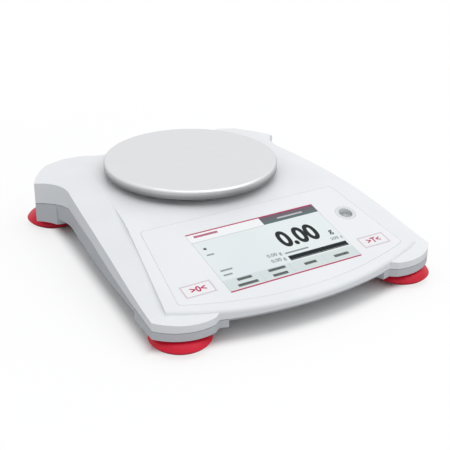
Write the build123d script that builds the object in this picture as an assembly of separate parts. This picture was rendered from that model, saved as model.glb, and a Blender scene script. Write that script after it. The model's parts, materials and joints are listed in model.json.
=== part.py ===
from build123d import *
import math
import os

# Portable balance: sloped touch display, round weighing pan, four levelling feet.
# Millimetres. The origin is on the bench under the middle of the footprint,
# +X to the right of someone who faces the display, +Y to the rear, +Z up.

# Plan outline of the housing
HALF_WIDTH = 101.3
FRONT_REACH = 115.0
REAR_REACH = 109.0
BOW_RADIUS = 238.0
NOTCH_HALF = 62.3
NOTCH_LEAN = 4.3
POD_FRONT_Y = -109.8
POD_FRONT_BULGE = 5.8
FRONT_CORNER_Y = -98.0
SIDE_NARROWING = 14.9
SIDE_BULGE = 2.2
WAIST_Y = 48.0
FLARE_DEPTH = 5.4
REAR_NARROWING = 2.8
REAR_CORNER_Y = 82.0
POD_BACK_HALF = 79.5
POD_BACK_BULGE = 1.8
POD_BACK_FALL = 1.5
POD_BACK_FLAT = 13.0
RECESS_HALF = 40.0
RECESS_DEPTH = 11.0

# Heights of the housing
FLOOR_Z = 13.6
POD_Z = 10.1
POD_TOP_Z = 21.8
POD_EDGE_DROP = 1.1
DECK_Z = 43.3
PARTING_FRONT_Z = 15.2
PARTING_SIDE_Z = 27.6
PARTING_REAR_Z = 23.2
PARTING_CREST_Y = 0.0
PARTING_FALL_Y = 52.0
PARTING_REAR_Y = 84.0
PARTING_GAP = 0.4
WALL = 2.4
TOP_THICKNESS = 2.6
SKIRT_LEAN = 1.2
POD_RADIUS = 28.0

# Crowned top between the shoulders. The pods' own sections come first. In each later one: its place along
# the housing, how far its crest and its shoulder lie under the plateau, and how far the shoulder lies in
# from the greatest width.
CROWN_FRONT_Y = -125.0
CROWN_FRONT_FALL = 1.3
CROWN_FRONT_EDGE_FALL = 0.4
CROWN_SECTIONS = (
    (-75.0, 1.6, 4.6, 0.6),
    (-38.0, 1.2, 5.9, 4.0),
    (0.0, 0.8, 5.9, 7.9),
    (40.0, -0.3, 3.2, 13.9),
    (82.0, 0.3, 4.9, 2.8),
    (121.0, 1.8, 5.6, 2.8),
)

# Raised plateau that carries the sloped panel
PANEL_TILT = 13.8
PANEL_Y = -68.3
PANEL_Z = 30.9
PLATEAU_FRONT_HALF = 91.5
PLATEAU_TAPER = 0.18
PLATEAU_END_Y = 60.0
PANEL_BEND_RADIUS = 80.0
PLATEAU_EDGE_RADIUS = 2.6

# Printed overlay, display and keys, measured in the plane of the panel
OVERLAY_FRONT_HALF = 82.0
OVERLAY_REAR_HALF = 72.5
OVERLAY_FRONT_S = -26.5
OVERLAY_REAR_S = 41.5
OVERLAY_THICKNESS = 0.5
SCREEN_WIDTH = 95.6
SCREEN_HEIGHT = 57.0
GLASS_THICKNESS = 2.3
MODULE_MARGIN = 5.0
MODULE_THICKNESS = 3.4
BRACKET_THICKNESS = 1.0
BRACKET_HALF_HEIGHT = 24.0
BRACKET_WINDOW_S = -12.0
BRACKET_WINDOW_HEIGHT = 10.0
BRACKET_LAP = 1.0
DISPLAY_BOARD_WIDTH = 80.0
DISPLAY_BOARD_HEIGHT = 34.0
BOARD_THICKNESS = 1.6
KEY_X = 64.7
KEY_S = -18.6
KEY_WIDTH = 20.2
KEY_HEIGHT = 10.2
KEY_TRAVEL = 0.4
KEY_FLANGE = 1.2
KEY_FLANGE_THICKNESS = 0.9
KEY_FLANGE_ROOM = 2.7
SWITCH_SIZE = 6.0
SWITCH_HEIGHT = 2.0
SWITCH_BUTTON_HEIGHT = 0.4
SWITCH_BUTTON_RADIUS = 1.7
LEVEL_X = 64.7
LEVEL_S = 12.3
LEVEL_RADIUS = 6.9
LEVEL_VIAL_RADIUS = 4.6
LEVEL_VIAL_HEIGHT = 3.6
LEVEL_VIAL_SINK = 1.5

# Weighing pan, its support and the load cell
PAN_Y = 37.0
PAN_RADIUS = 60.0
PAN_TOP_Z = 54.0
PAN_SKIRT = 5.9
PAN_SHEET = 1.0
PAN_EDGE_RADIUS = 1.8
SUPPORT_RADIUS = 48.0
SUPPORT_THICKNESS = 2.0
SUPPORT_BOTTOM_Z = 47.2
SUPPORT_RIB_WIDTH = 2.0
SUPPORT_RIB_HEIGHT = 1.2
BUMPER_RADIUS = 4.5
BUMPER_CIRCLE = 42.0
BUMPER_COUNT = 4
HUB_RADIUS = 7.0
HUB_TOP_Z = 45.5
HUB_PLATE_THICKNESS = 3.0
SLEEVE_WALL = 2.4
SLEEVE_BOTTOM_Z = 39.0
COLLAR_RADIUS = 14.0
COLLAR_WALL = 2.4
COLLAR_HEIGHT = 2.2
CELL_LENGTH = 84.0
CELL_WIDTH = 16.0
CELL_HEIGHT = 14.0
CELL_BOTTOM_Z = 20.2
CELL_HOLE_RADIUS = 5.2
CELL_HOLE_SPACING = 20.0
CELL_GAP = 0.8
BASE_PLATE_LENGTH = 104.0
BASE_PLATE_WIDTH = 34.0
BASE_PLATE_THICKNESS = 3.0
CELL_SCREW_RADIUS = 2.0
CELL_SCREW_PITCH = 11.0
STOP_SCREW_RADIUS = 2.0

# Transport lock and hook for weighing below the bench, both reached from underneath
LOCK_X = 8.0
LOCK_RADIUS = 8.0
LOCK_FLANGE = 1.6
LOCK_FLANGE_THICKNESS = 1.4
LOCK_POST_RADIUS = 2.4
HOOK_X = 33.0
PORT_RADIUS = 7.5
PLUG_THICKNESS = 1.6

# Batteries
CELL_AA_RADIUS = 7.1
CELL_AA_LENGTH = 49.2
CELL_AA_TIP = 1.1
CELL_AA_TIP_RADIUS = 2.7
BATTERY_Y = -20.5
BATTERY_ROW_GAP = 0.8
CONTACT_ROOM = 2.6
HOLDER_WALL = 1.4
COVER_THICKNESS = 2.0

# Boards and rear connectors
MAIN_BOARD_WIDTH = 110.0
MAIN_BOARD_DEPTH = 34.0
MAIN_BOARD_REAR_GAP = 1.2
MAIN_BOARD_Z = 23.6
POST_RADIUS = 3.0
POST_INSET = 5.0
INLET_X = -22.0
INLET_WIDTH = 9.0
INLET_HEIGHT = 10.5
INLET_BORE_RADIUS = 3.2
INLET_PIN_RADIUS = 1.0
PORT_X = 2.0
DATA_PORT_WIDTH = 12.0
DATA_PORT_HEIGHT = 10.8
LOCK_SWITCH_X = 24.0
LOCK_SWITCH_WIDTH = 12.0
LOCK_SWITCH_HEIGHT = 6.0
LOCK_SLIDER_WIDTH = 3.6
LOCK_SLIDER_TRAVEL = 3.0
CONNECTOR_DEPTH = 13.0
CONNECTOR_BACK = 3.0
SECURITY_SLOT_X = 30.0
SECURITY_SLOT_WIDTH = 7.0
SECURITY_SLOT_HEIGHT = 3.0
SECURITY_SLOT_RISE = 1.0

# Screws that close the housing
HOUSING_SCREW_PLACES = ((88.0, -66.0), (80.0, 4.0), (74.0, 70.0))
SCREW_RADIUS = 1.5
SCREW_HEAD_RADIUS = 2.8
SCREW_HEAD_THICKNESS = 1.4
SCREW_SINK = 0.2
SCREW_LENGTH = 7.0
SCREW_BOSS_RADIUS = 4.0
THREAD_SPARE = 1.0

# Levelling feet
FOOT_FRONT_INSET = 19.8
FOOT_REAR_INSET = 21.0
FOOT_FRONT_Y = 95.0
FOOT_REAR_Y = 96.2
WHEEL_RADIUS = 18.8
WHEEL_TOP_Z = 9.1
WHEEL_BOTTOM_Z = 0.7
WHEEL_BOTTOM_RADIUS = 15.0
WHEEL_BULGE_Z = 3.8
WHEEL_TOP_ROUNDING = 1.6
WHEEL_ARC_OUT = 0.64
WHEEL_ARC_UP = 0.29
PAD_RADIUS = 13.6
PAD_THICKNESS = 2.2
PAD_PIN_RADIUS = 3.0
PAD_PIN_LENGTH = 2.6
STUD_RADIUS = 4.0
STUD_TOP_Z = 17.0
INSERT_WALL = 2.5
FOOT_BOSS_WALL = 2.2

# Smaller sizes of the display, keys and level
OVERLAY_BOW = 13.8
OVERLAY_CORNER_RADIUS = 2.5
EAR_RADIUS = 3.0
EAR_FRONT_S = -3.5
EAR_REAR_S = 23.0
DISPLAY_BOARD_S = 10.0
BOARD_OVERLAP = 5.0
BOARD_EDGE = 1.0
KEY_SEAT = 2.6
KEY_STEM_RADIUS = 2.0
KEY_STEM_LENGTH = 1.0
KEY_POST_RADIUS = 1.6
KEY_POST_S = -9.2
KEY_POST_SPREAD = 7.0
LEVEL_SEAT = 2.8
LEVEL_DEPTH = 8.0
LEVEL_FLANGE_RADIUS = 8.6
LEVEL_FLANGE_THICKNESS = 1.4

# Smaller sizes of the support, load cell and base
SUPPORT_RIB_PAIRS = 4
HUB_CHAMFER = 1.0
CELL_SLOT = 3.0
CELL_THREAD = 6.0
CELL_SCREW_EDGE = 6.0
CELL_PAD_LENGTH = 20.0
CELL_HEAD_RADIUS = 3.5
CELL_HEAD_THICKNESS = 1.8
BASE_SCREW_EDGE = 4.0
STOP_X = 21.6
LOCK_POST_OFFSET = 4.5
LOCK_SLOT_LENGTH = 12.0
LOCK_SLOT_WIDTH = 1.8
LOCK_SLOT_DEPTH = 1.2
HOOK_WIDTH = 4.2
HOOK_THICKNESS = 2.0
HOOK_EYE_RADIUS = 1.1
HOOK_CLEARANCE = 0.4
PLUG_GRIP_RADIUS = 2.0

# Smaller sizes of the battery space and the connectors
HOLDER_FLANGE = 3.0
COVER_NOTCH = 12.0
CONTACT_PLATE = 0.4
CONTACT_RADIUS = 4.5
CONTACT_COIL_RADIUS = 4.0
PORT_SHELL = 1.6
PORT_TONGUE = 2.4
PORT_TONGUE_SETBACK = 1.5
LOCK_SWITCH_DEPTH = 5.0
LOCK_SLIDER_HEIGHT = 2.4
LOCK_SLIDER_ROOT = 1.5
LOCK_SLIDER_PROUD = 0.8
STUD_CHAMFER = 0.6

# Clearances
RUN = 0.05
FIT = 0.15
LOOSE = 0.3

# How far a cutting body passes the face that it cuts, and how far construction bodies pass the housing
SPARE = 1.0
BEYOND = 20.0

# Values that follow from the sizes above
TILT = math.radians(PANEL_TILT)
SLOPE = math.tan(TILT)
CORNER_X = HALF_WIDTH
WAIST_X = HALF_WIDTH - SIDE_NARROWING
REAR_CORNER_X = HALF_WIDTH - REAR_NARROWING
RECESS_Y = REAR_REACH - RECESS_DEPTH
FLOOR_TOP = FLOOR_Z + WALL
POD_FLOOR_TOP = POD_Z + WALL
PAN_UNDER_Z = PAN_TOP_Z - PAN_SHEET
CELL_TOP_Z = CELL_BOTTOM_Z + CELL_HEIGHT
HUB_PLATE_TOP_Z = CELL_TOP_Z + CELL_GAP + HUB_PLATE_THICKNESS
CELL_END = CELL_LENGTH / 2
FOOT_FRONT_X = HALF_WIDTH - FOOT_FRONT_INSET
FOOT_REAR_X = HALF_WIDTH - FOOT_REAR_INSET
FEET = {
    "front_left": (-FOOT_FRONT_X, -FOOT_FRONT_Y),
    "front_right": (FOOT_FRONT_X, -FOOT_FRONT_Y),
    "rear_left": (-FOOT_REAR_X, FOOT_REAR_Y),
    "rear_right": (FOOT_REAR_X, FOOT_REAR_Y),
}
BOARD_REAR_Y = RECESS_Y - WALL - MAIN_BOARD_REAR_GAP
BOARD_TOP_Z = MAIN_BOARD_Z + BOARD_THICKNESS
MODULE_WIDTH = SCREEN_WIDTH + 2 * MODULE_MARGIN
MODULE_HEIGHT = SCREEN_HEIGHT + 2 * MODULE_MARGIN
SWITCH_TOP = -KEY_SEAT - KEY_FLANGE_THICKNESS - KEY_STEM_LENGTH - KEY_TRAVEL - RUN
KEY_BOARD_TOP = SWITCH_TOP - SWITCH_HEIGHT - SWITCH_BUTTON_HEIGHT
LEVEL_Y = PANEL_Y + LEVEL_S * math.cos(TILT)
LEVEL_VIAL_TOP_Z = PANEL_Z + LEVEL_S * math.sin(TILT) - LEVEL_VIAL_SINK
BASE_PLATE_TOP = FLOOR_TOP + BASE_PLATE_THICKNESS
COVER_TOP_Z = FLOOR_Z + COVER_THICKNESS
BATTERY_Z = COVER_TOP_Z + FIT + CELL_AA_RADIUS
BAY_TOP_Z = BATTERY_Z + CELL_AA_RADIUS + FIT
BAY_HALF_WIDTH = 2 * CELL_AA_RADIUS + BATTERY_ROW_GAP / 2 + LOOSE
BAY_HALF_LENGTH = HOLDER_WALL / 2 + CONTACT_ROOM + CELL_AA_LENGTH + CELL_AA_TIP + CONTACT_PLATE
LOCK_SLIDER_Z = BOARD_TOP_Z + LOCK_SWITCH_HEIGHT / 2
INSERT_RADIUS = STUD_RADIUS + RUN + INSERT_WALL
STUD_BOTTOM_Z = PAD_THICKNESS + PAD_PIN_LENGTH + 2 * LOOSE
GREAT_WIDTH = 2 * HALF_WIDTH + BEYOND
HIGH_Z = DECK_Z + BEYOND

panel_place = Location(Plane(origin=(0, PANEL_Y, PANEL_Z), x_dir=(1, 0, 0),
                             z_dir=(0, -math.sin(TILT), math.cos(TILT))))


def block(x0, x1, y0, y1, z0, z1):
    """Box between two opposite corners."""
    return Pos((x0 + x1) / 2, (y0 + y1) / 2, (z0 + z1) / 2) * Box(x1 - x0, y1 - y0, z1 - z0)


def post(x, y, z0, z1, radius):
    """Upright cylinder between two heights."""
    return Pos(x, y, (z0 + z1) / 2) * Cylinder(radius, z1 - z0)


def panel_block(x, s, width, height, top, bottom):
    """Box in the plane of the panel, from one depth to another below its surface."""
    return panel_place * Pos(x, s, (top + bottom) / 2) * Box(width, height, top - bottom)


def panel_post(x, s, radius, top, bottom):
    """Cylinder square to the panel."""
    return panel_place * Pos(x, s, (top + bottom) / 2) * Cylinder(radius, top - bottom)


def bow_y(x):
    """The front of the housing is one large arc."""
    return -FRONT_REACH + BOW_RADIUS - math.sqrt(BOW_RADIUS ** 2 - x ** 2)


def panel_z(y):
    return PANEL_Z + (y - PANEL_Y) * SLOPE


def top_z(y):
    """Height of the plateau: the sloped panel, then the level deck."""
    return min(panel_z(y), DECK_Z)


def bulged(start, end, bulge):
    """Arc from one point to another that stands off its chord to the right of travel."""
    dx = end[0] - start[0]
    dy = end[1] - start[1]
    length = math.hypot(dx, dy)
    middle = ((start[0] + end[0]) / 2 + bulge * dy / length, (start[1] + end[1]) / 2 - bulge * dx / length)
    return ThreePointArc(start, middle, end)


def housing_outline():
    """Bowed front between two pods, sides drawn in to a waist, flared rear pods, recessed back."""
    bow_end = (NOTCH_HALF, bow_y(NOTCH_HALF))
    pod_inner = (NOTCH_HALF + NOTCH_LEAN, POD_FRONT_Y)
    front_corner = (CORNER_X, FRONT_CORNER_Y)
    waist = (WAIST_X, WAIST_Y)
    rear_corner = (REAR_CORNER_X, REAR_CORNER_Y)
    pod_back = (POD_BACK_HALF, REAR_REACH - POD_BACK_FALL)
    pod_back_inner = (POD_BACK_HALF - POD_BACK_FLAT, REAR_REACH)
    recess_end = (RECESS_HALF, RECESS_Y)
    bow = ThreePointArc((-bow_end[0], bow_end[1]), (0, -FRONT_REACH), bow_end)
    half = Line(bow_end, pod_inner)
    half += bulged(pod_inner, front_corner, POD_FRONT_BULGE)
    half += bulged(front_corner, waist, SIDE_BULGE)
    half += bulged(waist, rear_corner, -FLARE_DEPTH)
    half += bulged(rear_corner, pod_back, POD_BACK_BULGE)
    half += Line(pod_back, pod_back_inner)
    half += Line(pod_back_inner, recess_end)
    back = Line(recess_end, (-recess_end[0], recess_end[1]))
    return make_face(bow + half + mirror(half, Plane.YZ) + back)


def inset_outline(amount):
    return offset(housing_outline(), -amount, kind=Kind.INTERSECTION)


def upright(face, z0, z1):
    """Prism over a plan outline."""
    return extrude(Pos(0, 0, z0) * face, z1 - z0)


def below_parting(shift):
    """Everything under the arched parting line, moved up or down by a shift."""
    far = FRONT_REACH + BEYOND
    z = [height + shift for height in (PARTING_FRONT_Z, PARTING_SIDE_Z, PARTING_REAR_Z)]
    points = [(-far, -BEYOND), (-far, z[0]), (FRONT_CORNER_Y, z[0]), (PARTING_CREST_Y, z[1]),
              (PARTING_FALL_Y, z[1]), (PARTING_REAR_Y, z[2]), (far, z[2]), (far, -BEYOND)]
    profile = make_face(Polyline(*points, close=True))
    return Pos(-GREAT_WIDTH / 2, 0, 0) * extrude(Plane.YZ * profile, GREAT_WIDTH)


def crown(drop):
    """Crowned top between the shoulders, lofted through sections along the housing."""
    half = GREAT_WIDTH / 2
    edge = POD_TOP_Z - POD_EDGE_DROP
    sections = [(CROWN_FRONT_Y, POD_TOP_Z - CROWN_FRONT_FALL, edge - CROWN_FRONT_EDGE_FALL, CORNER_X),
                (FRONT_CORNER_Y, POD_TOP_Z, edge, CORNER_X)]
    for y, crest_fall, edge_fall, inset in CROWN_SECTIONS:
        sections.append((y, top_z(y) - crest_fall, top_z(y) - edge_fall, HALF_WIDTH - inset))
    faces = []
    for y, crest, edge, side in sections:
        crest_half = plateau_half(y)
        outer = crest - (crest - edge) * (half - crest_half) / (side - crest_half)
        points = [(-half, 0), (-half, outer - drop), (-crest_half, crest - drop),
                  (crest_half, crest - drop), (half, outer - drop), (half, 0)]
        faces.append(make_face(Plane(origin=(0, y, 0), x_dir=(1, 0, 0), z_dir=(0, -1, 0))
                               * Polyline(*points, close=True)))
    return loft(faces)


def plateau_half(y):
    return PLATEAU_FRONT_HALF - PLATEAU_TAPER * (y - FRONT_CORNER_Y)


def plateau_plan():
    """Plan of the plateau: the bow carried on across the pods, with straight tapering sides."""
    front = (PLATEAU_FRONT_HALF, bow_y(PLATEAU_FRONT_HALF))
    rear = (plateau_half(PLATEAU_END_Y), PLATEAU_END_Y)
    edges = ThreePointArc((-front[0], front[1]), (0, -FRONT_REACH), front)
    edges += Polyline(front, rear, (-rear[0], rear[1]), (-front[0], front[1]))
    return make_face(edges)


def plateau():
    """Solid under the sloped panel and the level deck, rounded along its front and side edges."""
    far = FRONT_REACH + BEYOND
    bend_y = PANEL_Y + (DECK_Z - PANEL_Z) / SLOPE
    profile = make_face(Polyline((-far, 0), (-far, panel_z(-far)), (bend_y, DECK_Z),
                                 (far, DECK_Z), (far, 0), close=True))
    bend = profile.vertices().sort_by_distance((bend_y, DECK_Z, 0))[0]
    profile = fillet(bend, PANEL_BEND_RADIUS)
    bar = Pos(-GREAT_WIDTH / 2, 0, 0) * extrude(Plane.YZ * profile, GREAT_WIDTH)
    solid = upright(plateau_plan(), 0, HIGH_Z) & bar
    front = solid.edges().filter_by(GeomType.LINE, reverse=True).group_by(Axis.Y)[0].sort_by(Axis.Z)[-1]
    return fillet(front, PLATEAU_EDGE_RADIUS)


def foot_zones(radius):
    """Round zones of the plan above the four feet."""
    zones = Sketch()
    for x, y in FEET.values():
        zones += Pos(x, y) * Circle(radius)
    return zones


def both_sides(place):
    """A place on the right and its mirror on the left."""
    return ((place[0], place[1]), (-place[0], place[1]))


def screw_places():
    return [spot for place in HOUSING_SCREW_PLACES for spot in both_sides(place)]


def key_openings(grow, top, bottom):
    """Prisms of the two keys, grown by an amount all round."""
    solids = Part()
    for side in (-1, 1):
        solids += panel_block(side * KEY_X, KEY_S, KEY_WIDTH + 2 * grow, KEY_HEIGHT + 2 * grow, top, bottom)
    return solids


def rear_cut(x, width, z0, z1):
    """Prism through the recessed rear wall."""
    return block(x - width / 2, x + width / 2, RECESS_Y - WALL - SPARE, RECESS_Y + SPARE, z0, z1)


def top_housing():
    """Moulded upper shell with the plateau, the panel openings, the deck opening and its collar."""
    prism = upright(housing_outline(), 0, HIGH_Z)
    front_zone = upright(plateau_plan(), panel_z(-FRONT_REACH) - PLATEAU_EDGE_RADIUS, HIGH_Z)
    front_zone &= block(-HALF_WIDTH, HALF_WIDTH, -FRONT_REACH - SPARE, FRONT_CORNER_Y + SPARE, 0, HIGH_Z)
    shell = (prism & crown(0)) - front_zone + (plateau() & prism)
    shell -= upright(inset_outline(WALL), 0, HIGH_Z) & crown(TOP_THICKNESS)
    shell -= below_parting(PARTING_GAP / 2)

    ceiling = prism & crown(TOP_THICKNESS / 2)
    posts = Part()
    for x, y in screw_places():
        posts += post(x, y, FLOOR_TOP, HIGH_Z, SCREW_BOSS_RADIUS)
    for x, s in bracket_ears():
        posts += panel_post(x, s, EAR_RADIUS, HIGH_Z - PANEL_Z, -GLASS_THICKNESS - MODULE_THICKNESS)
    for x, s in key_post_places():
        posts += panel_post(x, s, KEY_POST_RADIUS, HIGH_Z - PANEL_Z, KEY_BOARD_TOP)
    collar = post(0, PAN_Y, DECK_Z - TOP_THICKNESS, DECK_Z + COLLAR_HEIGHT, COLLAR_RADIUS + COLLAR_WALL)
    shell += (posts & ceiling) + collar

    shell -= panel_sheet(FIT, SPARE, -OVERLAY_THICKNESS)
    shell -= panel_block(0, 0, SCREEN_WIDTH + 2 * FIT, SCREEN_HEIGHT + 2 * FIT, 0, -GLASS_THICKNESS)
    shell -= panel_block(0, 0, MODULE_WIDTH + 2 * LOOSE, MODULE_HEIGHT + 2 * LOOSE,
                         -GLASS_THICKNESS, -GLASS_THICKNESS - MODULE_THICKNESS)
    shell -= key_openings(FIT, 0, -KEY_SEAT)
    shell -= key_openings(KEY_FLANGE + LOOSE, -KEY_SEAT, -KEY_SEAT - KEY_FLANGE_ROOM)
    shell -= panel_post(LEVEL_X, LEVEL_S, LEVEL_RADIUS + FIT, 0, -LEVEL_SEAT)
    shell -= panel_post(LEVEL_X, LEVEL_S, LEVEL_FLANGE_RADIUS + LOOSE, -LEVEL_SEAT, -2 * LEVEL_SEAT)
    shell -= post(0, PAN_Y, DECK_Z - 2 * TOP_THICKNESS, HIGH_Z, COLLAR_RADIUS)
    for x, y in screw_places():
        shell -= post(x, y, FLOOR_TOP, FLOOR_TOP + SCREW_LENGTH + THREAD_SPARE, SCREW_RADIUS)
    shell -= rear_cut(INLET_X, INLET_WIDTH + 2 * FIT, BOARD_TOP_Z, BOARD_TOP_Z + INLET_HEIGHT + FIT)
    shell -= rear_cut(PORT_X, DATA_PORT_WIDTH + 2 * FIT, BOARD_TOP_Z, BOARD_TOP_Z + DATA_PORT_HEIGHT + FIT)
    slot_low = LOCK_SLIDER_Z - LOCK_SLIDER_HEIGHT / 2 - FIT
    shell -= rear_cut(LOCK_SWITCH_X, LOCK_SLIDER_WIDTH + LOCK_SLIDER_TRAVEL + 2 * FIT,
                      slot_low, slot_low + LOCK_SLIDER_HEIGHT + 2 * FIT)
    return shell


def bottom_housing():
    """Tray with leaning skirts, a pod over each foot, bosses, posts and the openings of its floor."""
    high = PARTING_SIDE_Z + SPARE
    floor_outline = Pos(0, 0, FLOOR_Z) * inset_outline(SKIRT_LEAN)
    tray = loft([floor_outline, Pos(0, 0, high) * housing_outline()], ruled=True)
    tray += upright(housing_outline() & foot_zones(POD_RADIUS), POD_Z, high)
    tray -= upright(inset_outline(WALL + SKIRT_LEAN), FLOOR_TOP, high + SPARE)
    tray -= upright(inset_outline(WALL) & foot_zones(POD_RADIUS - WALL), POD_FLOOR_TOP, high + SPARE)
    tray &= below_parting(-PARTING_GAP / 2)
    for x, y in FEET.values():
        tray += post(x, y, POD_Z, STUD_TOP_Z, INSERT_RADIUS + FOOT_BOSS_WALL)
        tray -= post(x, y, POD_Z, STUD_TOP_Z, INSERT_RADIUS)
    for x, y in board_post_places():
        tray += post(x, y, FLOOR_TOP, MAIN_BOARD_Z, POST_RADIUS)
        tray -= post(x, y, FLOOR_TOP, MAIN_BOARD_Z, SCREW_RADIUS)
    for x, y in screw_places():
        tray -= post(x, y, FLOOR_Z, FLOOR_TOP, SCREW_RADIUS + FIT)
        tray -= post(x, y, FLOOR_Z, FLOOR_Z + SCREW_HEAD_THICKNESS, SCREW_HEAD_RADIUS + FIT)
    tray -= battery_bay(HOLDER_WALL + FIT, FLOOR_Z, FLOOR_TOP)
    tray -= post(LOCK_X, PAN_Y, FLOOR_Z, FLOOR_TOP, LOCK_RADIUS + RUN)
    tray -= post(HOOK_X, PAN_Y, FLOOR_Z, FLOOR_TOP, PORT_RADIUS + FIT)
    for x, y in base_screw_places():
        tray -= post(x, y, FLOOR_Z, FLOOR_TOP, SCREW_HEAD_RADIUS + FIT)
    slot_low = FLOOR_TOP + SECURITY_SLOT_RISE
    tray -= rear_cut(SECURITY_SLOT_X, SECURITY_SLOT_WIDTH, slot_low, slot_low + SECURITY_SLOT_HEIGHT)
    return tray


def housing_screws():
    """Six screws that hold the two shells together, driven from underneath."""
    screws = Part()
    for x, y in screw_places():
        screws += post(x, y, FLOOR_Z + SCREW_SINK, FLOOR_Z + SCREW_HEAD_THICKNESS, SCREW_HEAD_RADIUS)
        screws += post(x, y, FLOOR_Z + SCREW_HEAD_THICKNESS, FLOOR_TOP + SCREW_LENGTH, SCREW_RADIUS - RUN)
    return screws


def panel_plan(grow):
    """Outline of the printed overlay: bowed front edge and sides that spread to the front."""
    front = (OVERLAY_FRONT_HALF + grow, OVERLAY_FRONT_S - grow)
    rear = (OVERLAY_REAR_HALF + grow, OVERLAY_REAR_S + grow)
    edges = ThreePointArc((-front[0], front[1]), (0, OVERLAY_FRONT_S - OVERLAY_BOW - grow), front)
    edges += Polyline(front, rear, (-rear[0], rear[1]), (-front[0], front[1]))
    face = make_face(edges)
    return fillet(face.vertices(), OVERLAY_CORNER_RADIUS)


def panel_sheet(grow, top, bottom):
    """Prism of the overlay outline between two depths of the panel."""
    return panel_place * Pos(0, 0, bottom) * extrude(panel_plan(grow), top - bottom)


def display_overlay():
    """Printed sheet laid into the panel, open at the screen, the two keys and the level."""
    sheet = panel_sheet(0, 0, -OVERLAY_THICKNESS)
    sheet -= panel_block(0, 0, SCREEN_WIDTH + 2 * FIT, SCREEN_HEIGHT + 2 * FIT, 0, -OVERLAY_THICKNESS)
    sheet -= key_openings(FIT, 0, -OVERLAY_THICKNESS)
    sheet -= panel_post(LEVEL_X, LEVEL_S, LEVEL_RADIUS + FIT, 0, -OVERLAY_THICKNESS)
    return sheet


def touch_glass():
    """Touch glass flush with the overlay."""
    return panel_block(0, 0, SCREEN_WIDTH, SCREEN_HEIGHT, 0, -GLASS_THICKNESS)


def display_module():
    """Liquid crystal module seated under the wall of the panel."""
    top = -GLASS_THICKNESS
    return panel_block(0, 0, MODULE_WIDTH, MODULE_HEIGHT, top, top - MODULE_THICKNESS)


def bracket_ears():
    """Fixing points of the display bracket beside the module."""
    x = MODULE_WIDTH / 2 + EAR_RADIUS + 2 * LOOSE
    return [(side * x, s) for side in (-1, 1) for s in (EAR_FRONT_S, EAR_REAR_S)]


def display_bracket():
    """Sheet-metal frame with four ears that presses the display module to the panel."""
    top = -GLASS_THICKNESS - MODULE_THICKNESS
    bottom = top - BRACKET_THICKNESS
    frame = panel_block(0, 0, MODULE_WIDTH, 2 * BRACKET_HALF_HEIGHT, top, bottom)
    for x, s in bracket_ears():
        inner = math.copysign(MODULE_WIDTH / 2 - BRACKET_LAP, x)
        frame += panel_block((x + inner) / 2, s, abs(x - inner), 2 * EAR_RADIUS, top, bottom)
        frame += panel_post(x, s, EAR_RADIUS, top, bottom)
    width = DISPLAY_BOARD_WIDTH - 2 * BOARD_OVERLAP
    frame -= panel_block(0, DISPLAY_BOARD_S, width, DISPLAY_BOARD_HEIGHT - 2 * BOARD_OVERLAP, top, bottom)
    frame -= panel_block(0, BRACKET_WINDOW_S, width, BRACKET_WINDOW_HEIGHT, top, bottom)
    for x, s in bracket_ears():
        frame -= panel_post(x, s, SCREW_RADIUS, top, bottom)
    return frame


def bracket_screws():
    """Screws through the ears of the display bracket."""
    seat = -GLASS_THICKNESS - MODULE_THICKNESS - BRACKET_THICKNESS
    screws = Part()
    for x, s in bracket_ears():
        screws += panel_post(x, s, SCREW_HEAD_RADIUS, seat, seat - SCREW_HEAD_THICKNESS)
        screws += panel_post(x, s, SCREW_RADIUS - RUN, seat + BRACKET_THICKNESS, seat)
    return screws


def display_board():
    """Controller board on the back of the display bracket."""
    top = -GLASS_THICKNESS - MODULE_THICKNESS - BRACKET_THICKNESS
    return panel_block(0, DISPLAY_BOARD_S, DISPLAY_BOARD_WIDTH, DISPLAY_BOARD_HEIGHT,
                       top, top - BOARD_THICKNESS)


def key(side):
    """Short-travel key cap with a retaining flange and a stem over its switch."""
    cap = panel_block(side * KEY_X, KEY_S, KEY_WIDTH, KEY_HEIGHT, 0, -KEY_SEAT)
    flange_bottom = -KEY_SEAT - KEY_FLANGE_THICKNESS
    cap += panel_block(side * KEY_X, KEY_S, KEY_WIDTH + 2 * KEY_FLANGE, KEY_HEIGHT + 2 * KEY_FLANGE,
                       -KEY_SEAT, flange_bottom)
    cap += panel_post(side * KEY_X, KEY_S, KEY_STEM_RADIUS, flange_bottom, flange_bottom - KEY_STEM_LENGTH)
    return cap


def key_post_places():
    return [(side * KEY_X + dx, KEY_POST_S) for side in (-1, 1) for dx in (-KEY_POST_SPREAD, KEY_POST_SPREAD)]


def key_boards():
    """Small board under each key, on two posts of the upper shell."""
    boards = Part()
    rear = KEY_POST_S + KEY_POST_RADIUS + BOARD_EDGE
    front = KEY_S - SWITCH_SIZE / 2 - BOARD_EDGE
    width = 2 * (KEY_POST_SPREAD + KEY_POST_RADIUS + BOARD_EDGE)
    for side in (-1, 1):
        boards += panel_block(side * KEY_X, (front + rear) / 2, width, rear - front,
                              KEY_BOARD_TOP, KEY_BOARD_TOP - BOARD_THICKNESS)
    return boards


def key_switches():
    """Push switches on the key boards."""
    switches = Part()
    for side in (-1, 1):
        switches += panel_block(side * KEY_X, KEY_S, SWITCH_SIZE, SWITCH_SIZE,
                                KEY_BOARD_TOP + SWITCH_HEIGHT, KEY_BOARD_TOP)
        switches += panel_post(side * KEY_X, KEY_S, SWITCH_BUTTON_RADIUS, SWITCH_TOP,
                               KEY_BOARD_TOP + SWITCH_HEIGHT)
    return switches


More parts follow.
